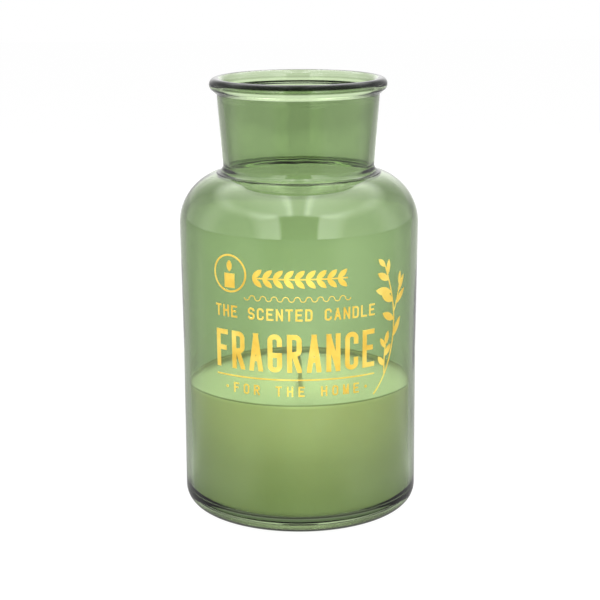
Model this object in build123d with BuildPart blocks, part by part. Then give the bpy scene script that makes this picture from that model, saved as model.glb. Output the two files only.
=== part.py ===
"""A poured candle in a wide-necked glass jar, with a gilt print on the front of the glass.

Everything turns about +Z, the jar stands on Z = 0, and the print faces -Y.
Each piece is its own solid: the jar, the wax, the wick, the steel sustainer and the adhesive
pad at the wick's foot, and the film of the print.
"""

import os
from math import acos, atan2, cos, degrees, radians, sin, tan

from build123d import *

os.makedirs("parts", exist_ok=True)

# ---- Driving dimensions, mm and degrees ----

HEIGHT = 280.0  # table to top of the rim
WALL = 3.7  # glass of the body and shoulder
BASE_THICKNESS = 8.0  # table to the glass under the wax

BODY_RADIUS = 75.75  # outside, from the heel up to the waist
HEEL_RADIUS = 12.2  # rounding where the wall meets the base
WAIST_HEIGHT = 104.5  # above it the wall leans out a little
WALL_LEAN = 0.7
SHOULDER_START = 187.0
SHOULDER_RADIUS = 33.8

NECK_FOOT_RADIUS = 48.2  # outside, where the neck leaves the shoulder
NECK_FOOT_WALL = 3.8
RIM_RING_RADIUS = 52.3  # centre of the rim's rolled bead, and outside of the neck's top
RIM_BEAD_RADIUS = 4.3
MOUTH_LAND_FOOT = 266.0  # the mouth is straight from here up, so that a stopper can seat
MOUTH_LAND_CUT = 0.2  # how far that straight bore cuts into the bead's inner side
NECK_FILLET = 3.0
INNER_NECK_FILLET = 4.0
BEAD_FILLET = 1.4

FOOT_RING_INNER = 59.0  # the jar stands on a flat ring from here out to the heel
PUNT_DEPTH = 4.0  # hollow under the base
PUNT_SLOPE_WIDTH = 8.0
PUNT_FILLET = 14.0

WAX_LEVEL = 82.5
MENISCUS = 1.5  # how far the wax climbs the glass
WICK_POOL = 0.5  # dip of the wax round the wick

WICK_RADIUS = 1.6
WICK_STRAIGHT = 8.0  # free wick before it starts to lean
WICK_LEAN_RADIUS = 26.0
WICK_LEAN = 18.0  # towards -X

PAD_RADIUS = 8.0
PAD_THICKNESS = 1.0
TAB_RADIUS = 10.0
TAB_THICKNESS = 0.4
COLLAR_WALL = 0.5
COLLAR_HEIGHT = 7.0

# Lengths across the print run along the wall from the front centre line, + to the right.
PRINT_THICKNESS = 0.15
PRINT_LOWEST = 84.0
PRINT_HIGHEST = 184.0
PRINT_LEFT = -56.0
PRINT_RIGHT = 49.5
MARK_REACH = 4.0  # how far a mark reaches each side of its flat plane, to meet the curved wall
LETTER_ROUND_ACROSS = 0.45  # rounding of a letter's corners, as shares of its width and height
LETTER_ROUND_UP = 0.22
LEAF_BELLY = 0.45  # where along its length a leaf is widest

EMBLEM_ACROSS = -44.8
EMBLEM_HEIGHT = 167.0
EMBLEM_RADIUS = 12.0
EMBLEM_RING = 1.2
EMBLEM_CANDLE = (7.5, 9.0)
EMBLEM_FLAME = (7.0, 3.8)

TWIG_LEFT = -29.0
TWIG_RIGHT = 30.0
TWIG_HEIGHT = 165.5
TWIG_STEM = 0.9
TWIG_PAIRS = 9
TWIG_LEAF = (8.2, 3.4)
TWIG_LEAF_ANGLE = 42.0

WAVE_LEFT = -34.5
WAVE_RIGHT = 32.0
WAVE_HEIGHT = 153.0
WAVE_SWING = 1.5
WAVE_LINE = 0.5
WAVE_BENDS = 19

RULE_HEIGHT = 102.3
RULE_LINE = 0.9

DOT_HEIGHT = 94.9
DOT_RADIUS = 0.9
DOT_LEFT = -48.0
DOT_RIGHT = 43.0

SPRIG_ACROSS = 62.0
SPRIG_FOOT = 88.8
SPRIG_STEM = 0.9

# Each row of letters: text, left, right, foot, letter width, letter height, stroke.
TEXT_ROWS = [
    ("THE SCENTED CANDLE", PRINT_LEFT, PRINT_RIGHT, 139.5, 4.4, 7.5, 1.15),
    ("FRAGRANCE", PRINT_LEFT, PRINT_RIGHT, 107.0, 9.0, 24.0, 3.1),
    ("FOR THE HOME", -43.0, 38.0, 91.7, 3.8, 6.4, 0.95),
]

# Each letter is drawn in a box one unit wide and one unit high, as strokes from point to point.
# A stroke of two points is straight, and a longer one has rounded corners.
LETTER_STROKES = {
    "A": [[(0, 0), (0.5, 1)], [(0.5, 1), (1, 0)], [(0.2, 0.3), (0.8, 0.3)]],
    "C": [[(1, 0.7), (1, 1), (0, 1), (0, 0), (1, 0), (1, 0.3)]],
    "D": [[(0, 0), (0, 1)], [(0, 1), (1, 1), (1, 0), (0, 0)]],
    "E": [[(0, 0), (0, 1)], [(0, 1), (1, 1)], [(0, 0.52), (0.8, 0.52)], [(0, 0), (1, 0)]],
    "F": [[(0, 0), (0, 1)], [(0, 1), (1, 1)], [(0, 0.52), (0.8, 0.52)]],
    "G": [[(1, 0.7), (1, 1), (0, 1), (0, 0), (1, 0), (1, 0.44)], [(0.5, 0.44), (1, 0.44)]],
    "H": [[(0, 0), (0, 1)], [(1, 0), (1, 1)], [(0, 0.52), (1, 0.52)]],
    "L": [[(0, 0), (0, 1)], [(0, 0), (1, 0)]],
    "M": [[(0, 0), (0, 1)], [(0, 1), (0.5, 0)], [(0.5, 0), (1, 1)], [(1, 0), (1, 1)]],
    "N": [[(0, 0), (0, 1)], [(0, 1), (1, 0)], [(1, 0), (1, 1)]],
    "O": [[(0.5, 1), (1, 1), (1, 0), (0.5, 0)], [(0.5, 0), (0, 0), (0, 1), (0.5, 1)]],
    "R": [[(0, 0), (0, 1)], [(0, 1), (1, 1), (1, 0.48), (0, 0.48)], [(0.45, 0.48), (1, 0)]],
    "S": [[(1, 0.76), (1, 1), (0, 1), (0, 0.5), (1, 0.5), (1, 0), (0, 0), (0, 0.24)]],
    "T": [[(0, 1), (1, 1)], [(0.5, 0), (0.5, 1)]],
}

# The sprig's stems, by points across and up from its foot, each with its leaves: the share of
# the stem where the leaf starts, its turn to the left of the stem, its length and its width.
SPRIG = [
    (
        [(-13, 0), (-1, 17), (4, 34), (4.5, 50), (1, 66), (-4, 80)],
        [
            (0.45, -24, 14, 3.8),
            (0.58, 62, 12, 4.8),
            (0.72, 48, 12, 5.2),
            (0.79, 62, 14, 5.4),
            (0.89, 42, 11, 4.4),
            (0.93, -26, 10, 3.2),
            (1.0, 26, 8, 3.4),
        ],
    ),
    (
        [(-4, 11), (-4, 21), (-3, 30)],
        [(0.3, 38, 8.5, 3.6), (0.62, -34, 9, 3.6), (0.9, 40, 8, 3.2), (1.0, -6, 9, 3.4)],
    ),
    (
        [(4.5, 50), (8, 58), (10, 66)],
        [(0.3, -24, 13, 3.6), (0.75, -16, 12, 3.2), (1.0, 4, 9, 2.8)],
    ),
]

# ---- Sizes that follow ----

lean_slope = tan(radians(WALL_LEAN))
shoulder_start_radius = BODY_RADIUS + (SHOULDER_START - WAIST_HEIGHT) * lean_slope
shoulder_centre_radius = shoulder_start_radius - SHOULDER_RADIUS * cos(radians(WALL_LEAN))
rim_centre_height = HEIGHT - RIM_BEAD_RADIUS
mouth_radius = RIM_RING_RADIUS - RIM_BEAD_RADIUS + MOUTH_LAND_CUT
foot_ring_outer = BODY_RADIUS - HEEL_RADIUS
punt_corner = (FOOT_RING_INNER - PUNT_SLOPE_WIDTH, PUNT_DEPTH)
inner_radius = BODY_RADIUS - WALL
inner_neck_foot_radius = NECK_FOOT_RADIUS - NECK_FOOT_WALL
inner_heel_radius = HEEL_RADIUS - WALL
inner_heel_foot = (inner_radius - inner_heel_radius, BASE_THICKNESS)
inner_heel_top = (inner_radius, BASE_THICKNESS + inner_heel_radius)
tab_bottom = BASE_THICKNESS + PAD_THICKNESS
tab_top = tab_bottom + TAB_THICKNESS
collar_radius = WICK_RADIUS + COLLAR_WALL


# ---- Glass jar ----


def side_wall(foot, offset, neck_foot_radius):
    """Draws the jar's side, this far inside its outer face, from the heel up to the neck's foot.

    Returns the point where it ends.
    """
    upright = Line(foot, (BODY_RADIUS - offset, WAIST_HEIGHT))
    leaning = Line(upright @ 1, (shoulder_start_radius - offset, SHOULDER_START))
    reach = (neck_foot_radius - shoulder_centre_radius) / (SHOULDER_RADIUS - offset)
    turn = degrees(acos(reach)) + WALL_LEAN
    shoulder = JernArc(leaning @ 1, leaning % 1, SHOULDER_RADIUS - offset, turn)
    return shoulder @ 1


with BuildPart() as glass_jar:
    with BuildSketch(Plane.XZ) as glass_section:
        with BuildLine():
            neck_foot = side_wall((BODY_RADIUS, HEEL_RADIUS), 0, NECK_FOOT_RADIUS)
            Polyline(neck_foot, (RIM_RING_RADIUS, rim_centre_height), (0, rim_centre_height))
            Polyline((0, rim_centre_height), (0, PUNT_DEPTH), punt_corner, (FOOT_RING_INNER, 0))
            Line((FOOT_RING_INNER, 0), (foot_ring_outer, 0))
            RadiusArc((foot_ring_outer, 0), (BODY_RADIUS, HEEL_RADIUS), -HEEL_RADIUS)
        make_face()
        fillet(glass_section.vertices().sort_by_distance(punt_corner)[0], PUNT_FILLET)
        fillet(glass_section.vertices().sort_by_distance(neck_foot)[0], NECK_FILLET)
        with Locations((RIM_RING_RADIUS, rim_centre_height)):
            Circle(RIM_BEAD_RADIUS)
    revolve(axis=Axis.Z)
    under_bead = (
        glass_jar.edges()
        .filter_by(GeomType.CIRCLE)
        .filter_by_position(Axis.Z, rim_centre_height - RIM_BEAD_RADIUS, rim_centre_height - 1)
    )
    fillet(under_bead, BEAD_FILLET)
    with BuildSketch(Plane.XZ) as hollow_section:
        with BuildLine():
            inner_neck_foot = side_wall(inner_heel_top, WALL, inner_neck_foot_radius)
            Polyline(inner_neck_foot, (mouth_radius, MOUTH_LAND_FOOT), (mouth_radius, HEIGHT))
            Polyline((mouth_radius, HEIGHT), (0, HEIGHT), (0, BASE_THICKNESS), inner_heel_foot)
            RadiusArc(inner_heel_foot, inner_heel_top, -inner_heel_radius)
        make_face()
        fillet(hollow_section.vertices().sort_by_distance(inner_neck_foot)[0], INNER_NECK_FILLET)
    revolve(axis=Axis.Z, mode=Mode.SUBTRACT)
glass_jar.part.label = "glass_jar"
export_step(glass_jar.part, "parts/glass_jar.step")


# ---- Wick, with the steel sustainer and the adhesive pad at its foot ----

with BuildPart() as wick:
    with BuildLine(Plane.XZ):
        upright_wick = Line((0, tab_bottom), (0, WAX_LEVEL + WICK_STRAIGHT))
        JernArc(upright_wick @ 1, upright_wick % 1, WICK_LEAN_RADIUS, WICK_LEAN)
    with BuildSketch(Plane.XY.offset(tab_bottom)):
        Circle(WICK_RADIUS)
    sweep()
wick.part.label = "wick"
export_step(wick.part, "parts/wick.step")

with BuildPart() as wick_sustainer:
    with BuildSketch(Plane.XY.offset(tab_bottom)):
        Circle(TAB_RADIUS)
    extrude(amount=TAB_THICKNESS)
    with BuildSketch(Plane.XY.offset(tab_bottom)):
        Circle(collar_radius)
    extrude(amount=COLLAR_HEIGHT)
    collar_foot = wick_sustainer.edges().filter_by(GeomType.CIRCLE).group_by(Axis.Z)[1]
    fillet(collar_foot.sort_by(SortBy.RADIUS)[0], COLLAR_WALL)
    with BuildSketch(Plane.XY.offset(tab_bottom)):
        Circle(WICK_RADIUS)
    extrude(amount=COLLAR_HEIGHT, mode=Mode.SUBTRACT)
wick_sustainer.part.label = "wick_sustainer"
export_step(wick_sustainer.part, "parts/wick_sustainer.step")

with BuildPart() as adhesive_pad:
    with BuildSketch(Plane.XY.offset(BASE_THICKNESS)):
        Circle(PAD_RADIUS)
    extrude(amount=PAD_THICKNESS)
adhesive_pad.part.label = "adhesive_pad"
export_step(adhesive_pad.part, "parts/adhesive_pad.step")


# ---- Wax, poured round them ----

with BuildPart() as wax_fill:
    with BuildSketch(Plane.XZ):
        with BuildLine():
            wax_edge = (inner_radius, WAX_LEVEL + MENISCUS)
            wax_level_start = (inner_radius - 2 * MENISCUS, WAX_LEVEL)
            wax_middle = (0, WAX_LEVEL - WICK_POOL)
            Polyline(wax_middle, (0, BASE_THICKNESS), inner_heel_foot)
            RadiusArc(inner_heel_foot, inner_heel_top, -inner_heel_radius)
            Line(inner_heel_top, wax_edge)
            RadiusArc(wax_edge, wax_level_start, 4 * MENISCUS)
            Spline(
                wax_level_start,
                (inner_radius / 2, WAX_LEVEL - WICK_POOL / 2),
                wax_middle,
                tangents=((-1, 0), (-1, 0)),
            )
        make_face()
    revolve(axis=Axis.Z)
    with BuildSketch(Plane.XY.offset(BASE_THICKNESS)):
        Circle(WICK_RADIUS)
    extrude(amount=WAX_LEVEL, mode=Mode.SUBTRACT)
    add(adhesive_pad.part, mode=Mode.SUBTRACT)
    add(wick_sustainer.part, mode=Mode.SUBTRACT)
wax_fill.part.label = "wax_fill"
export_step(wax_fill.part, "parts/wax_fill.step")


# ---- Gilt print, a film on the front of the wall ----


def front_plane(across, height):
    """The plane that touches the wall at this length along it from the front centre line."""
    turn = across / BODY_RADIUS
    outward = (sin(turn), -cos(turn), 0)
    touch = (BODY_RADIUS * sin(turn), -BODY_RADIUS * cos(turn), height)
    return Plane(origin=touch, x_dir=(cos(turn), sin(turn), 0), z_dir=outward)


def letter_shape(letter, width, height, stroke):
    """A letter centred on the origin. Its strokes run past its edges and a box trims them."""
    across, up = width - stroke, height - stroke
    corner = min(LETTER_ROUND_ACROSS * across, LETTER_ROUND_UP * up)
    with BuildSketch() as shape:
        for points in LETTER_STROKES[letter]:
            path = [Vector((x - 0.5) * across, (y - 0.5) * up) for x, y in points]
            with BuildLine():
                if len(path) > 2:
                    FilletPolyline(*path, radius=corner)
                else:
                    along = (path[1] - path[0]).normalized()
                    past = [stroke if y in (0, 1) else stroke / 2 for _, y in points]
                    Line(path[0] - along * past[0], path[1] + along * past[1])
            trace(line_width=stroke)
        Rectangle(width, height, mode=Mode.INTERSECT)
    return shape.sketch


def row_of_letters(text, left, right, foot, width, height, stroke):
    """The letters of an evenly spaced row, each with the plane it lies on."""
    pitch = (right - left - width) / (len(text) - 1)
    return [
        (
            front_plane(left + width / 2 + index * pitch, foot + height / 2),
            letter_shape(letter, width, height, stroke),
        )
        for index, letter in enumerate(text)
        if letter != " "
    ]


def leaf_shape(length, width):
    """A pointed leaf from the origin along +X."""
    with BuildSketch() as shape:
        with BuildLine():
            ThreePointArc((0, 0), (length * LEAF_BELLY, width / 2), (length, 0))
            ThreePointArc((0, 0), (length * LEAF_BELLY, -width / 2), (length, 0))
        make_face()
    return shape.sketch


with BuildPart() as marks:
    for text_row in TEXT_ROWS:
        for plane, letter in row_of_letters(*text_row):
            with BuildSketch(plane):
                add(letter)
    for dot_across in (DOT_LEFT, DOT_RIGHT):
        with BuildSketch(front_plane(dot_across, DOT_HEIGHT)):
            Circle(DOT_RADIUS)
    with BuildSketch(front_plane(EMBLEM_ACROSS, EMBLEM_HEIGHT)):
        Circle(EMBLEM_RADIUS)
        Circle(EMBLEM_RADIUS - EMBLEM_RING, mode=Mode.SUBTRACT)
        with Locations((0, -EMBLEM_CANDLE[1] / 2)):
            Rectangle(*EMBLEM_CANDLE)
        with Locations(Location((0, EMBLEM_RING, 0), (0, 0, 90))):
            add(leaf_shape(*EMBLEM_FLAME))
    twig_pitch = (TWIG_RIGHT - TWIG_LEFT) / TWIG_PAIRS
    for index in range(TWIG_PAIRS):
        with BuildSketch(front_plane(TWIG_LEFT + index * twig_pitch, TWIG_HEIGHT)):
            for turn in (-TWIG_LEAF_ANGLE, TWIG_LEAF_ANGLE):
                with Locations(Location((0, 0, 0), (0, 0, turn))):
                    add(leaf_shape(*TWIG_LEAF))
    bend = (WAVE_RIGHT - WAVE_LEFT) / WAVE_BENDS
    for index in range(WAVE_BENDS):
        swing = WAVE_SWING if index % 2 else -WAVE_SWING
        with BuildSketch(front_plane(WAVE_LEFT + (index + 0.5) * bend, WAVE_HEIGHT)):
            with BuildLine():
                ThreePointArc((-bend / 2, 0), (0, swing), (bend / 2, 0))
            trace(line_width=WAVE_LINE)
    with BuildSketch(front_plane(SPRIG_ACROSS, SPRIG_FOOT)):
        for stem_points, leaves in SPRIG:
            with BuildLine():
                stem = Spline(*stem_points)
            trace(line_width=SPRIG_STEM)
            for share, turn, length, width in leaves:
                along = stem % share
                heading = degrees(atan2(along.Y, along.X)) + turn
                with Locations(Location(stem @ share, (0, 0, heading))):
                    add(leaf_shape(length, width))
    extrude(amount=MARK_REACH, both=True)
    # The rule and the twig's stem follow the wall round.
    for left, right, height, line in (
        (PRINT_LEFT, PRINT_RIGHT, RULE_HEIGHT, RULE_LINE),
        (TWIG_LEFT, TWIG_RIGHT, TWIG_HEIGHT, TWIG_STEM),
    ):
        start = front_plane(left, height)
        with BuildSketch(Plane(origin=start.origin, x_dir=start.z_dir, z_dir=-start.x_dir)):
            Rectangle(2 * MARK_REACH, line)
        revolve(axis=Axis.Z, revolution_arc=degrees((right - left) / BODY_RADIUS))

with BuildPart() as gold_print:
    with BuildSketch(Plane.XZ):
        with BuildLine():
            highest_radius = BODY_RADIUS + (PRINT_HIGHEST - WAIST_HEIGHT) * lean_slope
            wall_face = [
                (BODY_RADIUS, PRINT_LOWEST),
                (BODY_RADIUS, WAIST_HEIGHT),
                (highest_radius, PRINT_HIGHEST),
            ]
            film_face = [(radius + PRINT_THICKNESS, height) for radius, height in wall_face]
            Polyline(*wall_face, *reversed(film_face), close=True)
        make_face()
    revolve(axis=Axis.Z)
    add(marks.part, mode=Mode.INTERSECT)
gold_print.part.label = "gold_print"
export_step(gold_print.part, "parts/gold_print.step")
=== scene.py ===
"""The looks of a poured candle in a green glass jar, on a white studio table.

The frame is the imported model's: the jar stands on z = 0 and its print faces -Y. Blender's own lengths are
in metres. Sizes taken from the CAD, and sections, are in mm and are multiplied by MM.
"""

from math import acos, atan2, cos, degrees, pi, radians, sin, tan

import bpy
from mathutils import Matrix, Vector, noise


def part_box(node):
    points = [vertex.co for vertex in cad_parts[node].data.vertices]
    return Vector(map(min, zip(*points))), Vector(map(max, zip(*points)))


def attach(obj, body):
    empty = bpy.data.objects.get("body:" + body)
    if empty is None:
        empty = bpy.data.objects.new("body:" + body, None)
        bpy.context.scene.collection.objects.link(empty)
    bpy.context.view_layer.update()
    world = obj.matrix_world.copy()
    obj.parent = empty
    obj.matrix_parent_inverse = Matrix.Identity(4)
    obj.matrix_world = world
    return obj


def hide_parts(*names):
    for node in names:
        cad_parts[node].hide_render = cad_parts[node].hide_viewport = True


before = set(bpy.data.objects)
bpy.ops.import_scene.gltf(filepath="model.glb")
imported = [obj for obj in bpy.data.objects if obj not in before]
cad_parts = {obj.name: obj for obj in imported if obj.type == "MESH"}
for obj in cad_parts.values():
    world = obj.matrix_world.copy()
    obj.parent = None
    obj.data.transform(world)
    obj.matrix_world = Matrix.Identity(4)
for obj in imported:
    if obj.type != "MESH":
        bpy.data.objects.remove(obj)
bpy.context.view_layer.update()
scene = bpy.context.scene

MM = 0.001

# ---- Sizes of the jar, mm, as the CAD has them ----

BODY_RADIUS = 75.75
HEEL_RADIUS = 12.2
WAIST_HEIGHT = 104.5
WALL_LEAN = 0.7
SHOULDER_START = 187.0
SHOULDER_RADIUS = 33.8
WALL = 3.7
NECK_FOOT_RADIUS = 48.2
NECK_FOOT_WALL = 3.8
INNER_NECK_FILLET = 4.0
RIM_RING_RADIUS = 52.3
RIM_BEAD_RADIUS = 4.3
MOUTH_RADIUS = 48.2
MOUTH_LAND_FOOT = 266.0
FOOT_RING_INNER = 59.0
PUNT_DEPTH = 4.0
PUNT_SLOPE_WIDTH = 8.0
PUNT_FILLET = 14.0

# ---- Roundings of the visual glass, mm, softer than the CAD's or absent from it ----

NECK_FILLET = 5.0  # 3.0 in the CAD
LIP_FILLET = 1.6  # 1.4 in the CAD
MOUTH_FILLET = 6.0
LAND_FILLET = 30.0
FOOT_RING_FILLET = 3.0

_, jar_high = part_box("glass_jar")
_, wax_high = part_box("wax_fill")
wick_low, wick_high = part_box("wick")
tab_low, tab_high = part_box("wick_sustainer")
pad_low, pad_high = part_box("adhesive_pad")

HEIGHT = jar_high.z / MM
BASE_THICKNESS = pad_low.z / MM
INNER_RADIUS = BODY_RADIUS - WALL
MENISCUS_RISE = 1.5  # how far the CAD's wax climbs the glass
WAX_LEVEL = wax_high.z / MM - MENISCUS_RISE
PRINT_GAP = 0.03  # the glass stays this much inside the printed film

# ---- Section helpers, mm ----

ON_AXIS = 1e-6  # a point nearer the axis than this is on it


def arc(centre, radius, start, end, steps):
    """Points along an arc, from one angle to another in degrees."""
    points = []
    for step in range(steps + 1):
        angle = radians(start + (end - start) * step / steps)
        points.append((centre[0] + radius * cos(angle), centre[1] + radius * sin(angle)))
    return points


def rounded(before, corner, after, radius, steps):
    """Points of the arc that rounds a corner between two straight lines."""
    here = Vector(corner)
    back = (Vector(before) - here).normalized()
    on = (Vector(after) - here).normalized()
    half = back.angle(on) / 2
    centre = here + (back + on).normalized() * radius / sin(half)
    first = here + back * radius / tan(half) - centre
    last = here + on * radius / tan(half) - centre
    start = degrees(atan2(first.y, first.x))
    sweep = (degrees(atan2(last.y, last.x)) - start + 180) % 360 - 180
    return arc(centre, radius, start, start + sweep, steps)


def straight(start, end, steps):
    """Points between two ends, without the ends."""
    return [tuple(Vector(start).lerp(Vector(end), step / steps)) for step in range(1, steps)]


def lathe(name, section, segments, closed=True, shift=None):
    """Turns a section of (radius, height) points in mm about Z into a mesh in metres.

    shift gives how far a point moves outwards, in mm, from its angle, radius and height.
    A point on the axis becomes one vertex.
    """
    vertices, rings = [], []
    for radius, height in section:
        if radius < ON_AXIS:
            rings.append([len(vertices)] * segments)
            vertices.append((0, 0, height * MM))
            continue
        ring = []
        for step in range(segments):
            turn = 2 * pi * step / segments
            out = (radius + (shift(turn, radius, height) if shift else 0)) * MM
            ring.append(len(vertices))
            vertices.append((out * cos(turn), out * sin(turn), height * MM))
        rings.append(ring)
    faces = []
    for low in range(len(rings) if closed else len(rings) - 1):
        high = (low + 1) % len(rings)
        for step in range(segments):
            after = (step + 1) % segments
            corners = [rings[low][step], rings[low][after], rings[high][after], rings[high][step]]
            face = list(dict.fromkeys(corners))
            if len(face) > 2:
                faces.append(face)
    return add_mesh(name, vertices, faces)


def add_mesh(name, vertices, faces):
    """A smooth-shaded object of this mesh, linked to the scene."""
    mesh = bpy.data.meshes.new(name)
    mesh.from_pydata([tuple(v) for v in vertices], [], faces)
    mesh.validate()
    mesh.shade_smooth()
    piece = bpy.data.objects.new(name, mesh)
    scene.collection.objects.link(piece)
    return piece


# ---- Material helpers ----


def new_material(name):
    """An empty node material: its tree, its output and one Principled shader on it."""
    material = bpy.data.materials.new(name)
    material.use_nodes = True
    tree = material.node_tree
    tree.nodes.clear()
    output = tree.nodes.new("ShaderNodeOutputMaterial")
    shader = tree.nodes.new("ShaderNodeBsdfPrincipled")
    tree.links.new(shader.outputs["BSDF"], output.inputs["Surface"])
    return material, tree, shader, output


def node(tree, kind, **values):
    """A node with its input sockets and properties set by name."""
    made = tree.nodes.new(kind)
    for key, value in values.items():
        if key in made.inputs:
            made.inputs[key].default_value = value
        else:
            setattr(made, key, value)
    return made


def noise_field(tree, scale, detail=3.0, roughness=0.5, distortion=0.0, stretch=(1, 1, 1)):
    """Object-space noise whose scale is in features per metre."""
    place = node(tree, "ShaderNodeTexCoord")
    mapping = node(tree, "ShaderNodeMapping", Scale=stretch)
    field = node(
        tree, "ShaderNodeTexNoise", Scale=scale, Detail=detail, Roughness=roughness, Distortion=distortion
    )
    tree.links.new(place.outputs["Object"], mapping.inputs["Vector"])
    tree.links.new(mapping.outputs["Vector"], field.inputs["Vector"])
    return field.outputs["Fac"]


def ramp(tree, source, stops):
    """A colour ramp over a factor, with stops of (position, colour)."""
    made = node(tree, "ShaderNodeValToRGB")
    elements = made.color_ramp.elements
    while len(elements) < len(stops):
        elements.new(0.5)
    for element, (position, colour) in zip(elements, stops):
        element.position = position
        element.color = (*colour, 1)
    tree.links.new(source, made.inputs["Fac"])
    return made.outputs["Color"]


def bump(tree, source, strength, distance, normal=None):
    """A bump of this depth in metres."""
    made = node(tree, "ShaderNodeBump", Strength=strength, Distance=distance)
    tree.links.new(source, made.inputs["Height"])
    if normal is not None:
        tree.links.new(normal, made.inputs["Normal"])
    return made.outputs["Normal"]


def multiply(tree, first, second):
    """The product of two colours."""
    made = node(tree, "ShaderNodeMix", data_type="RGBA", blend_type="MULTIPLY")
    made.inputs[0].default_value = 1.0
    tree.links.new(first, made.inputs[6])
    tree.links.new(second, made.inputs[7])
    return made.outputs[2]


def smooth(tree, value, low, high):
    """A soft step from 0 to 1 between two values."""
    made = node(tree, "ShaderNodeMapRange", interpolation_type="SMOOTHSTEP")
    made.inputs["From Min"].default_value = low
    made.inputs["From Max"].default_value = high
    tree.links.new(value, made.inputs["Value"])
    return made.outputs["Result"]


def blend_by(tree, factor, low, high):
    """A number between two others, by a factor."""
    made = node(tree, "ShaderNodeMapRange")
    tree.links.new(factor, made.inputs["Value"])
    for socket, value in (("To Min", low), ("To Max", high)):
        if isinstance(value, (int, float)):
            made.inputs[socket].default_value = value
        else:
            tree.links.new(value, made.inputs[socket])
    return made.outputs["Result"]


def maths(tree, operation, *values):
    """A Math node over numbers and sockets."""
    made = node(tree, "ShaderNodeMath", operation=operation)
    for socket, value in zip(made.inputs, values):
        if isinstance(value, (int, float)):
            socket.default_value = value
        else:
            tree.links.new(value, socket)
    return made.outputs["Value"]


def invert(tree, value):
    """One minus the value."""
    return maths(tree, "SUBTRACT", 1.0, value)


def both(tree, first, second):
    """The product of two numbers."""
    return maths(tree, "MULTIPLY", first, second)


def place_parts(tree):
    """Object-space X, Y and Z."""
    place = node(tree, "ShaderNodeTexCoord")
    split = node(tree, "ShaderNodeSeparateXYZ")
    tree.links.new(place.outputs["Object"], split.inputs["Vector"])
    return split.outputs["X"], split.outputs["Y"], split.outputs["Z"]


def from_axis(tree, across, along):
    """The distance from the jar's axis."""
    return maths(tree, "SQRT", maths(tree, "ADD", both(tree, across, across), both(tree, along, along)))


WHITE = (1, 1, 1)


def tint_where(tree, mask, colour):
    """A multiplier that goes from white to a colour with the mask."""
    return ramp(tree, mask, [(0.0, WHITE), (1.0, colour)])


# ---- Glass ----

GLASS_TINTS = ((0.48, 0.61, 0.365), (0.54, 0.665, 0.425))
GLASS_SHADE = (0.91, 0.97, 0.84)
GLASS_IOR = 1.5

# Painted shade that multiplies the tint. Each starts and ends at these heights and distances from the axis,
# mm.
# Painted shade: the rim's lip nearly black, its mirror shine dimmed
LIP_PAINTED_SHADE = (0.004, 0.004, 0.006)
LIP_DIMMED_REFLECTION = (0.05, 0.05, 0.05)
LIP_REACH = (RIM_RING_RADIUS - 2.3, RIM_RING_RADIUS - 0.8)
LIP_HEIGHTS = (HEIGHT - 4.0, HEIGHT - 2.8)
# Painted shade: the neck and the top of the shoulder a little darker
NECK_PAINTED_SHADE = (0.86, 0.85, 0.86)
NECK_HEIGHTS = (180.0, 204.0)
# Painted shade: dark bands round the heel and the foot
HEEL_PAINTED_SHADE = (0.27, 0.30, 0.20)
HEEL_REACH = (69.5, 71.5)
HEEL_HEIGHTS = (6.5, 9.0)
FOOT_PAINTED_SHADE = (0.09, 0.095, 0.07)
FOOT_REACH = (67.0, 68.5)
FOOT_HEIGHTS = (2.2, 5.0)


def smooth_mm(tree, value, ends):
    """A soft step from 0 to 1 between two lengths in mm."""
    return smooth(tree, value, ends[0] * MM, ends[1] * MM)


def painted_glass_shade(tree):
    """Two multipliers of painted shade: of the tint, darkest on the lip and below the heel and a little
    darker on the neck, and of the lip's mirror shine, dimmed.
    """
    across, along, up = place_parts(tree)
    reach = from_axis(tree, across, along)
    on_lip = both(tree, smooth_mm(tree, reach, LIP_REACH), smooth_mm(tree, up, LIP_HEIGHTS))
    on_neck = smooth_mm(tree, up, NECK_HEIGHTS)
    on_heel = both(tree, invert(tree, smooth_mm(tree, up, HEEL_HEIGHTS)), smooth_mm(tree, reach, HEEL_REACH))
    on_foot = both(tree, invert(tree, smooth_mm(tree, up, FOOT_HEIGHTS)), smooth_mm(tree, reach, FOOT_REACH))
    above = multiply(tree, tint_where(tree, on_lip, LIP_PAINTED_SHADE), tint_where(tree, on_neck, NECK_PAINTED_SHADE))
    below = multiply(tree, tint_where(tree, on_heel, HEEL_PAINTED_SHADE), tint_where(tree, on_foot, FOOT_PAINTED_SHADE))
    return multiply(tree, above, below), tint_where(tree, on_lip, LIP_DIMMED_REFLECTION)


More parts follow.
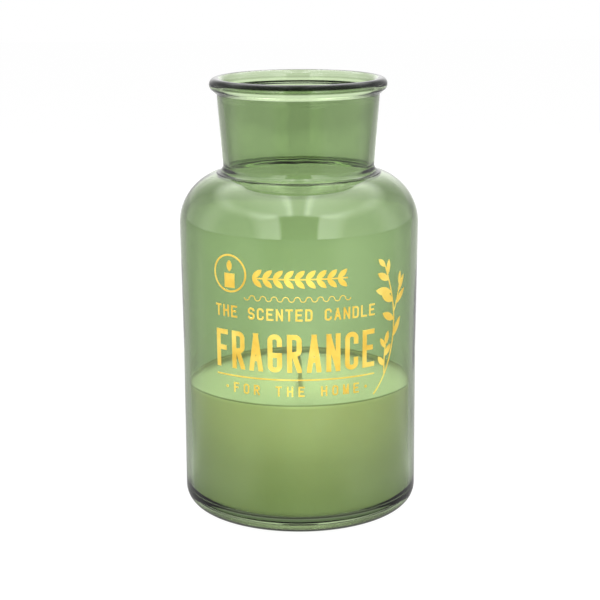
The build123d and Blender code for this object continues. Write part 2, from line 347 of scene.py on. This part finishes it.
def glass_material(name, tints, shade):
    """Glass with a tint on its faces, darkened by painted shade, which lets the lamps' light through, by
    shade, to what is inside it.
    """
    material, tree, shader, output = new_material(name)
    shader.inputs["Transmission Weight"].default_value = 1.0
    shader.inputs["IOR"].default_value = GLASS_IOR
    shader.inputs["Roughness"].default_value = 0.0
    streaks = noise_field(tree, 9.0, detail=2.0, stretch=(1, 1, 0.35))
    green = ramp(tree, streaks, list(zip((0.35, 0.65), tints)))
    # painted shade on the lip, neck, heel and foot, and the lip's reflection dimmed
    shaded_tint, dimmed_shine = painted_glass_shade(tree)
    tree.links.new(multiply(tree, green, shaded_tint), shader.inputs["Base Color"])
    tree.links.new(dimmed_shine, shader.inputs["Specular Tint"])
    ripple = bump(tree, noise_field(tree, 28.0, detail=1.0, stretch=(1, 1, 0.5)), 0.5, 0.0004)
    tree.links.new(ripple, shader.inputs["Normal"])
    lamps = node(tree, "ShaderNodeBsdfTransparent", Color=(*shade, 1))
    path = node(tree, "ShaderNodeLightPath")
    mix = node(tree, "ShaderNodeMixShader")
    tree.links.new(path.outputs["Is Shadow Ray"], mix.inputs["Fac"])
    tree.links.new(shader.outputs["BSDF"], mix.inputs[1])
    tree.links.new(lamps.outputs["BSDF"], mix.inputs[2])
    tree.links.new(mix.outputs["Shader"], output.inputs["Surface"])
    return material


jar_green = glass_material("jar_green", GLASS_TINTS, GLASS_SHADE)

# ---- Wax and the other materials ----

WAX_TONES = ((0.83, 0.79, 0.50), (0.90, 0.86, 0.58))
# Painted shade on the wax: darker towards the base, over the top and in a line at the top of the meniscus
WAX_DEPTH_SHADE = ((0.0, (0.55, 0.61, 0.60)), (0.55, (0.72, 0.75, 0.74)), (1.0, WHITE))
WAX_TOP_SHADE = ((0.72, 0.69, 0.62), (0.50, 0.52, 0.50))
WAX_TOP_REACH = (20.0, 62.0)
WAX_TOP_HEIGHTS = (WAX_LEVEL - 2.5, WAX_LEVEL - 1.0)
WAX_SIDE_REACH = (INNER_RADIUS - 1.6, INNER_RADIUS - 0.8)
WAX_LINE_SHADE = (0.36, 0.40, 0.34)
WAX_LINE_HEIGHTS = (WAX_LEVEL + 1.5, WAX_LEVEL + 2.2)
COTTON_TONES = ((0.0, (0.80, 0.76, 0.54)), (0.7, (0.70, 0.66, 0.46)), (1.0, (0.45, 0.40, 0.29)))
GILT_TONES = ((0.35, (0.72, 0.45, 0.05)), (0.5, (0.82, 0.57, 0.085)), (0.66, (0.90, 0.70, 0.15)))
GILT_ROUGHNESS = (0.30, 0.48)
STEEL_TONES = ((0.3, (0.55, 0.55, 0.54)), (0.7, (0.72, 0.72, 0.71)))
FOAM_TONES = ((0.0, (0.70, 0.70, 0.68)), (0.6, (0.88, 0.88, 0.86)))


def wax_painted_shade(tree):
    """Painted shade: a multiplier that darkens the wax towards the base, over its top and in a line along its
    edge at the glass.
    """
    across, along, up = place_parts(tree)
    depth = ramp(tree, smooth(tree, up, 0.0, wax_high.z), WAX_DEPTH_SHADE)
    line = tint_where(tree, smooth_mm(tree, up, WAX_LINE_HEIGHTS), WAX_LINE_SHADE)
    reach = from_axis(tree, across, along)
    spread = ramp(tree, smooth_mm(tree, reach, WAX_TOP_REACH), list(zip((0.0, 1.0), WAX_TOP_SHADE)))
    inside = invert(tree, smooth_mm(tree, reach, WAX_SIDE_REACH))
    top = node(tree, "ShaderNodeMix", data_type="RGBA")
    tree.links.new(both(tree, smooth_mm(tree, up, WAX_TOP_HEIGHTS), inside), top.inputs[0])
    top.inputs[6].default_value = (*WHITE, 1)
    tree.links.new(spread, top.inputs[7])
    return multiply(tree, multiply(tree, depth, top.outputs[2]), line)


def wax_material():
    """Poured wax: a soft ivory body with faint frosting, under painted shade."""
    material, tree, shader, _ = new_material("poured_wax")
    cloud = noise_field(tree, 22.0, detail=4.0, roughness=0.6)
    body = ramp(tree, cloud, list(zip((0.3, 0.7), WAX_TONES)))
    tree.links.new(multiply(tree, body, wax_painted_shade(tree)), shader.inputs["Base Color"])
    shader.inputs["Subsurface Weight"].default_value = 0.35
    shader.inputs["Subsurface Radius"].default_value = (1.0, 0.8, 0.5)
    shader.inputs["Subsurface Scale"].default_value = 0.006
    shader.inputs["Roughness"].default_value = 0.42
    fine = bump(tree, noise_field(tree, 240.0, detail=5.0), 0.35, 0.0003)
    coarse = bump(tree, noise_field(tree, 30.0, detail=2.0), 0.4, 0.0010, fine)
    tree.links.new(coarse, shader.inputs["Normal"])
    return material


def cotton_material():
    """Waxed cotton braid, a little darker towards the free tip."""
    material, tree, shader, _ = new_material("waxed_cotton")
    height = node(tree, "ShaderNodeMapRange")
    height.inputs["From Min"].default_value = wax_high.z
    height.inputs["From Max"].default_value = wick_high.z
    tree.links.new(place_parts(tree)[2], height.inputs["Value"])
    tree.links.new(ramp(tree, height.outputs["Result"], COTTON_TONES), shader.inputs["Base Color"])
    shader.inputs["Roughness"].default_value = 0.62
    shader.inputs["Sheen Weight"].default_value = 0.25
    tree.links.new(bump(tree, noise_field(tree, 3500.0, detail=2.0), 0.5, 0.0001), shader.inputs["Normal"])
    return material


def gold_material():
    """Gilt ink: a warm metallic film, denser and more orange in patches."""
    material, tree, shader, _ = new_material("gilt_ink")
    patch = noise_field(tree, 45.0, detail=3.0, roughness=0.6)
    tree.links.new(ramp(tree, patch, GILT_TONES), shader.inputs["Base Color"])
    shader.inputs["Metallic"].default_value = 0.35
    grain = noise_field(tree, 900.0, detail=2.0)
    tree.links.new(blend_by(tree, grain, *GILT_ROUGHNESS), shader.inputs["Roughness"])
    tree.links.new(bump(tree, noise_field(tree, 2500.0, detail=2.0), 0.3, 0.00005), shader.inputs["Normal"])
    return material


def steel_material():
    """Tinned steel sheet with a faint rolled grain."""
    material, tree, shader, _ = new_material("tinned_steel")
    grain = noise_field(tree, 400.0, detail=3.0, stretch=(1, 12, 1))
    tree.links.new(ramp(tree, grain, STEEL_TONES), shader.inputs["Base Color"])
    shader.inputs["Metallic"].default_value = 1.0
    shader.inputs["Roughness"].default_value = 0.32
    tree.links.new(bump(tree, grain, 0.3, 0.00005), shader.inputs["Normal"])
    return material


def foam_material():
    """Closed-cell foam of the double-sided pad."""
    material, tree, shader, _ = new_material("pad_foam")
    cells = node(tree, "ShaderNodeTexVoronoi", Scale=2200.0)
    place = node(tree, "ShaderNodeTexCoord")
    tree.links.new(place.outputs["Object"], cells.inputs["Vector"])
    tree.links.new(ramp(tree, cells.outputs["Distance"], FOAM_TONES), shader.inputs["Base Color"])
    shader.inputs["Roughness"].default_value = 0.85
    tree.links.new(bump(tree, cells.outputs["Distance"], 0.5, 0.0001), shader.inputs["Normal"])
    return material


def dress(piece, material):
    """Puts one material on a piece."""
    piece.data.materials.clear()
    piece.data.materials.append(material)


# ---- Glass jar ----

SHOULDER_START_RADIUS = BODY_RADIUS + (SHOULDER_START - WAIST_HEIGHT) * tan(radians(WALL_LEAN))
SHOULDER_CENTRE = (
    SHOULDER_START_RADIUS - SHOULDER_RADIUS * cos(radians(WALL_LEAN)),
    SHOULDER_START + SHOULDER_RADIUS * sin(radians(WALL_LEAN)),
)
RIM_CENTRE = (RIM_RING_RADIUS, HEIGHT - RIM_BEAD_RADIUS)
NECK_STRAIGHT_SHARE = 0.9  # of the way from the neck's foot to the bead
UNDER_LIP = (RIM_RING_RADIUS - 0.35, HEIGHT - 2 * RIM_BEAD_RADIUS - 0.2)
LIP_OUTSIDE = (60, 270.6)  # the rounding under the lip turns towards this point
LIP_ARC = (-72, 158)  # the bead's free surface, degrees
NECK_MIDDLE_START = (46.5, 222.0)  # the middle of the neck's wall, which leans out from here
NECK_MIDDLE_SLOPE = 0.075


def foot_angle(radius, foot_radius):
    """The angle, in degrees, at which a shoulder arc of this radius meets the neck's foot."""
    return degrees(acos((foot_radius - SHOULDER_CENTRE[0]) / radius))


def outer_section():
    """The jar's outer face, from the middle of the base out, up and over the rim."""
    punt_corner = (FOOT_RING_INNER - PUNT_SLOPE_WIDTH, PUNT_DEPTH)
    ring_corner = (FOOT_RING_INNER, 0)
    points = [(0, PUNT_DEPTH)] + straight((0, PUNT_DEPTH), punt_corner, 6)[:-1]
    points += rounded((0, PUNT_DEPTH), punt_corner, ring_corner, PUNT_FILLET, 6)
    points += rounded(punt_corner, ring_corner, (BODY_RADIUS, 0), FOOT_RING_FILLET, 4)
    points += arc((BODY_RADIUS - HEEL_RADIUS, HEEL_RADIUS), HEEL_RADIUS, -90, 0, 20)
    waist = (BODY_RADIUS, WAIST_HEIGHT)
    points += straight((BODY_RADIUS, HEEL_RADIUS), waist, 14)
    points.append(waist)
    points += straight(waist, (SHOULDER_START_RADIUS, SHOULDER_START), 12)

    top_angle = foot_angle(SHOULDER_RADIUS, NECK_FOOT_RADIUS)
    shoulder = arc(SHOULDER_CENTRE, SHOULDER_RADIUS, -WALL_LEAN, top_angle, 40)
    foot = shoulder[-1]
    points += shoulder[:-3]
    points += rounded(shoulder[-4], foot, RIM_CENTRE, NECK_FILLET, 10)
    points += straight(points[-1], Vector(foot).lerp(Vector(RIM_CENTRE), NECK_STRAIGHT_SHARE), 14)
    points += rounded(foot, UNDER_LIP, LIP_OUTSIDE, LIP_FILLET, 6)
    points += arc(RIM_CENTRE, RIM_BEAD_RADIUS, *LIP_ARC, 40)
    return points


def inner_section():
    """The jar's inner face, from inside the rim down to the middle of the base."""
    land_top = (MOUTH_RADIUS, RIM_CENTRE[1])
    land_foot = (MOUTH_RADIUS, MOUTH_LAND_FOOT)
    points = rounded((MOUTH_RADIUS + 0.2, RIM_CENTRE[1] + 2), land_top, (MOUTH_RADIUS, 270), MOUTH_FILLET, 3)
    inner_radius = SHOULDER_RADIUS - WALL
    top_angle = foot_angle(inner_radius, NECK_FOOT_RADIUS - NECK_FOOT_WALL)
    shoulder = arc(SHOULDER_CENTRE, inner_radius, top_angle, -WALL_LEAN, 40)
    points += rounded(land_top, land_foot, shoulder[0], LAND_FILLET, 5)
    points += straight(points[-1], shoulder[0], 14)[:-1]
    points += rounded(land_foot, shoulder[0], shoulder[4], INNER_NECK_FILLET, 10)
    points += shoulder[5:]

    waist = (INNER_RADIUS, WAIST_HEIGHT)
    points += straight((SHOULDER_START_RADIUS - WALL, SHOULDER_START), waist, 12)
    points.append(waist)
    inner_heel = HEEL_RADIUS - WALL
    heel_centre = (INNER_RADIUS - inner_heel, BASE_THICKNESS + inner_heel)
    points += straight(waist, (INNER_RADIUS, heel_centre[1]), 14)
    points += arc(heel_centre, inner_heel, 0, -90, 14)
    points += straight(points[-1], (0, BASE_THICKNESS), 6)
    points.append((0, BASE_THICKNESS))
    return points


WAVES_ROUND = 2.2
WAVE_HEIGHT = 38.0
FINE_WAVE_SCALE = 2.7
FINE_WAVE_SHARE = 0.35
FINE_WAVE_SHIFT = Vector((7, 3, 1))
INNER_WAVE = 0.16
OUTER_WAVE = 0.02


def glass_wave(turn, radius, height):
    """How far the glass wanders outwards, mm: gentle waves inside, only ever inwards on the outer face."""
    place = Vector((cos(turn) * WAVES_ROUND, sin(turn) * WAVES_ROUND, height / WAVE_HEIGHT))
    swell = noise.noise(place) + FINE_WAVE_SHARE * noise.noise(place * FINE_WAVE_SCALE + FINE_WAVE_SHIFT)
    inside = height > BASE_THICKNESS and is_inside(radius, height)
    return swell * INNER_WAVE if inside else -PRINT_GAP - abs(swell) * OUTER_WAVE


def is_inside(radius, height):
    """True on the jar's inner face below the mouth's land: nearer the axis than the middle of the wall."""
    start_radius, start_height = NECK_MIDDLE_START
    if height < SHOULDER_START:
        return radius < BODY_RADIUS - WALL / 2
    if height < start_height:
        out = (Vector((radius, height)) - Vector(SHOULDER_CENTRE)).length
        return out < SHOULDER_RADIUS - WALL / 2
    return height < MOUTH_LAND_FOOT and radius < start_radius + (height - start_height) * NECK_MIDDLE_SLOPE


JAR_SEGMENTS = 288
jar = lathe("jar_glass", outer_section() + inner_section(), JAR_SEGMENTS, closed=False, shift=glass_wave)
dress(jar, jar_green)
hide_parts("glass_jar")
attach(jar, "root")

# ---- Wax ----

GLASS_CLEARANCE = 0.25
POCKET_CLEARANCE = 0.1
WICK_CLEARANCE = 0.15
COLLAR_POCKET = 0.6  # beyond the wick, for the collar
COLLAR_TOP_CLEARANCE = 0.05
TAB_POCKET_HEIGHT = 0.5
WICK_POOL = ((0.0, -1.2), (0.15, -0.35), (0.9, -0.25))  # (out from the wick's hole, up from the wax's level)
WICK_POOL_EDGE = (4, 0.55)
TOP_RADII = range(7, 66, 3)
TOP_DISH = 0.5  # how far the top's middle lies below its edge
MENISCUS_IN, MENISCUS_UP = 4, 3.6  # the meniscus arc's centre, from the wax's side and its level
MENISCUS_ARC_RADIUS = 3.65
MENISCUS_ARC = (-84, -12)
MENISCUS_TOP = 2.7
WICK_RADIUS = (wick_high.y - wick_low.y) / 2 / MM
TAB_RADIUS = (tab_high.x - tab_low.x) / 2 / MM
PAD_RADIUS = (pad_high.x - pad_low.x) / 2 / MM


def wax_section():
    """The wax's closed section, from the wick's hole over the top, down the side and in below."""
    side = INNER_RADIUS - GLASS_CLEARANCE
    hole = WICK_RADIUS + WICK_CLEARANCE
    collar = WICK_RADIUS + COLLAR_POCKET
    foot = BASE_THICKNESS + POCKET_CLEARANCE
    pad_side, tab_side = PAD_RADIUS + POCKET_CLEARANCE, TAB_RADIUS + POCKET_CLEARANCE
    tab_bottom, tab_top = tab_low.z / MM, tab_low.z / MM + TAB_POCKET_HEIGHT
    collar_top = tab_high.z / MM + COLLAR_TOP_CLEARANCE
    points = [(hole, collar_top)]
    points += [(hole + out, WAX_LEVEL + rise) for out, rise in WICK_POOL]
    points += [(WICK_POOL_EDGE[0], WAX_LEVEL - WICK_POOL_EDGE[1])]
    points += [(radius, WAX_LEVEL - TOP_DISH * (1 - radius / side)) for radius in TOP_RADII]
    points += arc((side - MENISCUS_IN, WAX_LEVEL + MENISCUS_UP), MENISCUS_ARC_RADIUS, *MENISCUS_ARC, 9)
    points += [(side, WAX_LEVEL + MENISCUS_TOP), (side, WAX_LEVEL)]
    heel = HEEL_RADIUS - WALL - GLASS_CLEARANCE
    points += straight((side, WAX_LEVEL), (side, foot + heel), 10)
    points += arc((side - heel, foot + heel), heel, 0, -90, 12)
    points += straight((side - heel, foot), (pad_side, foot), 4)
    points += [(pad_side, foot), (pad_side, tab_bottom)]
    points += [(tab_side, tab_bottom), (tab_side, tab_top), (collar, tab_top)]
    points += [(collar, collar_top)]
    return points


WAX_PULL = 0.12  # how far the wax's top edge stands off the glass on average
WAX_PULL_DEPTH = 4
WAX_PULL_RADIUS = 60
WAX_PULL_WAVES = 3
WAX_PULL_SEED = 5


def wax_wave(turn, radius, height):
    """Where the wax let go of the glass a little as it cooled, in mm."""
    if height < WAX_LEVEL - WAX_PULL_DEPTH or radius < WAX_PULL_RADIUS:
        return 0
    place = Vector((cos(turn) * WAX_PULL_WAVES, sin(turn) * WAX_PULL_WAVES, WAX_PULL_SEED))
    return -WAX_PULL - WAX_PULL * noise.noise(place)


WAX_SEGMENTS = 192
wax = lathe("wax_body", wax_section(), WAX_SEGMENTS, shift=wax_wave)
dress(wax, wax_material())
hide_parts("wax_fill")
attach(wax, "root")

# ---- Wick, a plait of cotton strands on the CAD's line ----

WICK_STRAIGHT_TOP = 90.5
WICK_LEAN_RADIUS = 26.0
WICK_LEAN = 18.0
STRAND_RADIUS = 0.44
STRANDS_EACH_WAY = 4
PLAIT_PITCH = 9.0
STRAND_SIDES = 8
STRAND_STEP = 0.45
WICK_TIP_GAP = 0.3  # how far the strands' cut ends lie below the CAD's tip
PLAIT_INSET = 0.16
WEAVE_DEPTH = 0.14


def wick_frame(length):
    """The point, the sideways direction and the direction along the wick this far up it, in mm."""
    straight_length = WICK_STRAIGHT_TOP - wick_low.z / MM
    if length <= straight_length:
        return Vector((0, 0, wick_low.z / MM + length)), Vector((1, 0, 0)), Vector((0, 0, 1))
    turn = (length - straight_length) / WICK_LEAN_RADIUS
    out = WICK_LEAN_RADIUS * (cos(turn) - 1)
    point = Vector((out, 0, WICK_STRAIGHT_TOP + WICK_LEAN_RADIUS * sin(turn)))
    return point, Vector((cos(turn), 0, sin(turn))), Vector((-sin(turn), 0, cos(turn)))


def plait():
    """Vertices and faces of the strands, which pass over and under each other."""
    total = WICK_STRAIGHT_TOP - wick_low.z / MM + WICK_LEAN_RADIUS * radians(WICK_LEAN) - WICK_TIP_GAP
    steps = round(total / STRAND_STEP)
    vertices, faces = [], []
    for hand in (1, -1):
        for strand in range(STRANDS_EACH_WAY):
            first_ring = len(vertices)
            centres = []
            for step in range(steps + 1):
                length = total * step / steps
                turn = hand * (2 * pi * length / PLAIT_PITCH) + 2 * pi * strand / STRANDS_EACH_WAY
                weave = hand * cos(STRANDS_EACH_WAY * 2 * pi * length / PLAIT_PITCH)
                reach = WICK_RADIUS - STRAND_RADIUS - PLAIT_INSET + WEAVE_DEPTH * weave
                point, sideways, along = wick_frame(length)
                across = along.cross(sideways)
                centre = point + (sideways * cos(turn) + across * sin(turn)) * reach
                centres.append((centre, sideways, across))
            for centre, sideways, across in centres:
                for side in range(STRAND_SIDES):
                    angle = 2 * pi * side / STRAND_SIDES
                    offset = sideways * cos(angle) + across * sin(angle)
                    vertices.append((centre + offset * STRAND_RADIUS) * MM)
            for step in range(steps):
                low = first_ring + step * STRAND_SIDES
                for side in range(STRAND_SIDES):
                    after = (side + 1) % STRAND_SIDES
                    faces.append(
                        (low + side, low + after, low + STRAND_SIDES + after, low + STRAND_SIDES + side)
                    )
            last = first_ring + steps * STRAND_SIDES
            faces.append(tuple(range(first_ring + STRAND_SIDES - 1, first_ring - 1, -1)))
            faces.append(tuple(range(last, last + STRAND_SIDES)))
    return vertices, faces


wick = add_mesh("wick_plait", *plait())
dress(wick, cotton_material())
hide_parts("wick")
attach(wick, "root")

# ---- CAD parts that stay, in better materials ----

for name, material in (
    ("gold_print", gold_material()),
    ("wick_sustainer", steel_material()),
    ("adhesive_pad", foam_material()),
):
    dress(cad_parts[name], material)

# ---- Table, lights and camera ----

# How bright the table and the room are where the glass shows them. The camera sees both plain white.
CARD_LIGHT = 1.05
CARD_JOIN_LIGHT = 0.40
CARD_JOIN_SHARPNESS = 4.0
UNDER_LIGHT = 0.5
UNDER_REACH = (90.0, 180.0)
# Painted light: the table under the jar glows green, as if lit through the glass
UNDER_LIGHT_COLOUR = (0.58, 0.72, 0.46)
UNDER_LIGHT_COLOUR_REACH = (63.0, 67.0)
TABLE_TO_CAMERA = 0.95
TABLE_FOOT_LIGHT = 0.30
TABLE_FOOT_REACH = (90.0, 150.0)
TABLE_NEAR_LIGHT = 0.12
TABLE_NEAR_REACH = (120.0, 450.0)
TABLE_MIDDLE_LIGHT = 0.85
TABLE_FAR_LIGHT = 0.10
TABLE_FAR_REACH = (620.0, 850.0)
TABLE_SIDE_LIGHT = 0.6
TABLE_SIDE_BEARINGS = (-0.95, -0.72)  # -1 is straight in front of the jar, 1 straight behind it
TABLE_BACK_BEARINGS = (0.1, 0.4)


def card_light(tree, across, along):
    """How bright the white cards round the jar are: one on each side, darker at their joins."""
    turn = maths(tree, "ARCTAN2", across, along)
    wave = maths(tree, "ABSOLUTE", maths(tree, "COSINE", both(tree, turn, 2.0)))
    return blend_by(tree, maths(tree, "POWER", wave, CARD_JOIN_SHARPNESS), CARD_JOIN_LIGHT, 1.0)


def table_material():
    """White table paper: plain white to the camera, unevenly lit where the glass shows or mirrors it."""
    material, tree, shader, _ = new_material("table_paper")
    shader.inputs["Base Color"].default_value = (0.12, 0.12, 0.12, 1)
    shader.inputs["Roughness"].default_value = 0.9
    shader.inputs["Specular IOR Level"].default_value = 0.0
    across, along, _ = place_parts(tree)
    reach = from_axis(tree, across, along)
    under = ramp(tree, smooth_mm(tree, reach, UNDER_LIGHT_COLOUR_REACH), [(0.0, UNDER_LIGHT_COLOUR), (1.0, WHITE)])
    tree.links.new(under, shader.inputs["Emission Color"])
    cards = both(tree, card_light(tree, across, along), CARD_LIGHT)
    through = blend_by(tree, smooth_mm(tree, reach, UNDER_REACH), UNDER_LIGHT, cards)
    bearing = maths(tree, "DIVIDE", along, reach)
    far = blend_by(tree, smooth_mm(tree, reach, TABLE_FAR_REACH), TABLE_MIDDLE_LIGHT, TABLE_FAR_LIGHT)
    ahead = blend_by(tree, smooth_mm(tree, reach, TABLE_NEAR_REACH), TABLE_NEAR_LIGHT, far)
    facing = blend_by(tree, smooth(tree, bearing, *TABLE_SIDE_BEARINGS), ahead, TABLE_SIDE_LIGHT)
    round_about = blend_by(tree, smooth(tree, bearing, *TABLE_BACK_BEARINGS), facing, cards)
    mirrored = blend_by(tree, smooth_mm(tree, reach, TABLE_FOOT_REACH), TABLE_FOOT_LIGHT, round_about)
    path = node(tree, "ShaderNodeLightPath")
    unseen = blend_by(tree, path.outputs["Is Glossy Ray"], through, mirrored)
    shown = blend_by(tree, path.outputs["Is Camera Ray"], unseen, TABLE_TO_CAMERA)
    tree.links.new(shown, shader.inputs["Emission Strength"])
    tree.links.new(bump(tree, noise_field(tree, 900.0), 0.1, 0.0001), shader.inputs["Normal"])
    material.cycles.emission_sampling = "NONE"
    return material


FLOOR_REACH = 4.0
FLOOR_GAP = 0.0002  # keeps the table just clear of the jar's foot
floor = add_mesh(
    "table",
    [(x * FLOOR_REACH, y * FLOOR_REACH, -FLOOR_GAP) for x, y in ((-1, -1), (1, -1), (1, 1), (-1, 1))],
    [(0, 1, 2, 3)],
)
dress(floor, table_material())

# Stops of (how far a direction points sideways, brightness), for the wall in front and for the ceiling
WINDOW_LIGHT = 0.10
FRONT_LIGHTS = ((0.0, WINDOW_LIGHT), (0.28, WINDOW_LIGHT), (0.33, 3.1), (0.56, 2.6), (0.70, 1.1), (1.0, 1.1))
CEILING_STREAKS = (
    (0.0, 0.36),
    (0.06, 0.40),
    (0.12, 1.0),
    (0.20, 0.55),
    (0.40, 0.44),
    (0.62, 0.30),
    (0.85, 0.17),
    (1.0, 0.1),
)
CEILING_LIGHT = 5.2
SIDE_BOOST = 1.9
SKY_BOOST = 1.45
DOME_LIGHT = 0.35

# Where the room's parts meet, as parts of a direction: across (either way), along (-1 is in front) and up
SKY_ACROSS = (0.50, 0.75)
SKY_UP = (0.02, 0.15)
SIDE_ACROSS = (0.58, 0.75)
BACK_ALONG = (-0.3, 0.3)
WINDOW_TOP_UP = (0.65, 0.8)
WINDOW_TOP_ALONG = (-0.72, -0.64)
CEILING_ALONG = (-0.70, -0.62)
CEILING_UP = (0.50, 0.70)


def brightness_ramp(tree, value, stops):
    """A grey ramp over a value, with stops of (position, brightness)."""
    return ramp(tree, value, [(position, (light,) * 3) for position, light in stops])


def wall_light(tree, across, along, up):
    """The walls: a dark window between lights in front, the cards at the sides and behind."""
    sideways = maths(tree, "ABSOLUTE", across)
    cards = both(tree, card_light(tree, across, along), CARD_LIGHT)
    boost = blend_by(tree, smooth(tree, sideways, *SKY_ACROSS), SKY_BOOST, 1.0)
    sky = both(tree, cards, blend_by(tree, smooth(tree, up, *SKY_UP), 1.0, boost))
    front = brightness_ramp(tree, sideways, FRONT_LIGHTS)
    sides = blend_by(tree, smooth(tree, sideways, *SIDE_ACROSS), 1.0, SIDE_BOOST)
    walls = blend_by(tree, smooth(tree, along, *BACK_ALONG), front, both(tree, sky, sides))
    high = both(tree, smooth(tree, up, *WINDOW_TOP_UP), smooth(tree, along, *WINDOW_TOP_ALONG))
    return blend_by(tree, high, walls, WINDOW_LIGHT)


def ceiling_light(tree, across, along, up):
    """The ceiling: a wide soft light with two brighter streaks."""
    streaks = brightness_ramp(tree, maths(tree, "ABSOLUTE", across), CEILING_STREAKS)
    span = both(tree, smooth(tree, along, *CEILING_ALONG), smooth(tree, up, *CEILING_UP))
    return both(tree, both(tree, streaks, CEILING_LIGHT), span)


def studio_world():
    """A white room: even light on solid things, walls and a ceiling light in glass, white to the camera."""
    world = bpy.data.worlds.new("studio")
    world.use_nodes = True
    tree = world.node_tree
    tree.nodes.clear()
    output = node(tree, "ShaderNodeOutputWorld")
    place = node(tree, "ShaderNodeTexCoord")
    split = node(tree, "ShaderNodeSeparateXYZ")
    tree.links.new(place.outputs["Generated"], split.inputs["Vector"])
    direction = (split.outputs["X"], split.outputs["Y"], split.outputs["Z"])
    room = maths(tree, "ADD", wall_light(tree, *direction), ceiling_light(tree, *direction))
    path = node(tree, "ShaderNodeLightPath")
    optical = maths(tree, "MAXIMUM", path.outputs["Is Glossy Ray"], path.outputs["Is Transmission Ray"])
    unseen = blend_by(tree, optical, DOME_LIGHT, room)
    strength = blend_by(tree, path.outputs["Is Camera Ray"], unseen, 1.0)
    shown = node(tree, "ShaderNodeBackground", Color=(1, 1, 1, 1))
    tree.links.new(strength, shown.inputs["Strength"])
    tree.links.new(shown.outputs["Background"], output.inputs["Surface"])
    return world


scene.world = studio_world()

# Lamps, in metres and watts
LAMP_DISTANCE = 1.7
LAMP_HEIGHT = 0.62
LAMP_WIDTH = 1.0
TOP_LAMP_HEIGHT = 1.5
TOP_LAMP_WIDTH = 0.8
JAR_MIDDLE = (0, 0, jar_high.z / 2)


def softbox(name, place, width, power):
    """A square soft light aimed at the middle of the jar. Glass doesn't mirror it."""
    lamp = bpy.data.lights.new(name, "AREA")
    lamp.shape = "RECTANGLE"
    lamp.size, lamp.size_y = width, width
    lamp.energy = power
    lamp.cycles.use_multiple_importance_sampling = False
    holder = bpy.data.objects.new(name, lamp)
    holder.location = place
    holder.rotation_euler = (Vector(JAR_MIDDLE) - Vector(place)).to_track_quat("-Z", "Y").to_euler()
    scene.collection.objects.link(holder)


softbox("front_softbox", (0, -LAMP_DISTANCE, LAMP_HEIGHT), LAMP_WIDTH, 28)
softbox("left_softbox", (-LAMP_DISTANCE, 0, LAMP_HEIGHT), LAMP_WIDTH, 6)
softbox("right_softbox", (LAMP_DISTANCE, 0, LAMP_HEIGHT), LAMP_WIDTH, 5)
softbox("back_softbox", (0, LAMP_DISTANCE, LAMP_HEIGHT), LAMP_WIDTH, 16)
softbox("top_softbox", (0, 0, TOP_LAMP_HEIGHT), TOP_LAMP_WIDTH, 3)

# Camera, fitted to the photo's outline: metres and radians, with the lens and the sensor in mm
CAMERA_BACK = 1.0560
CAMERA_HEIGHT = 0.3827
CAMERA_PITCH = 0.2317
CAMERA_ROLL = -0.0055
CAMERA_LENS = 99.78
CAMERA_SENSOR = 36.0
CAMERA_SHIFT = (0.0010, 0.00365)

lens = bpy.data.cameras.new("camera")
lens.lens = CAMERA_LENS
lens.sensor_width = CAMERA_SENSOR
lens.shift_x, lens.shift_y = CAMERA_SHIFT
camera = bpy.data.objects.new("camera", lens)
camera.matrix_world = (
    Matrix.Translation((0, -CAMERA_BACK, CAMERA_HEIGHT))
    @ Matrix.Rotation(pi / 2 - CAMERA_PITCH, 4, "X")
    @ Matrix.Rotation(CAMERA_ROLL, 4, "Z")
)
scene.collection.objects.link(camera)
scene.camera = camera
scene.view_settings.view_transform = "Standard"
scene.cycles.caustics_reflective = False
scene.cycles.caustics_refractive = False
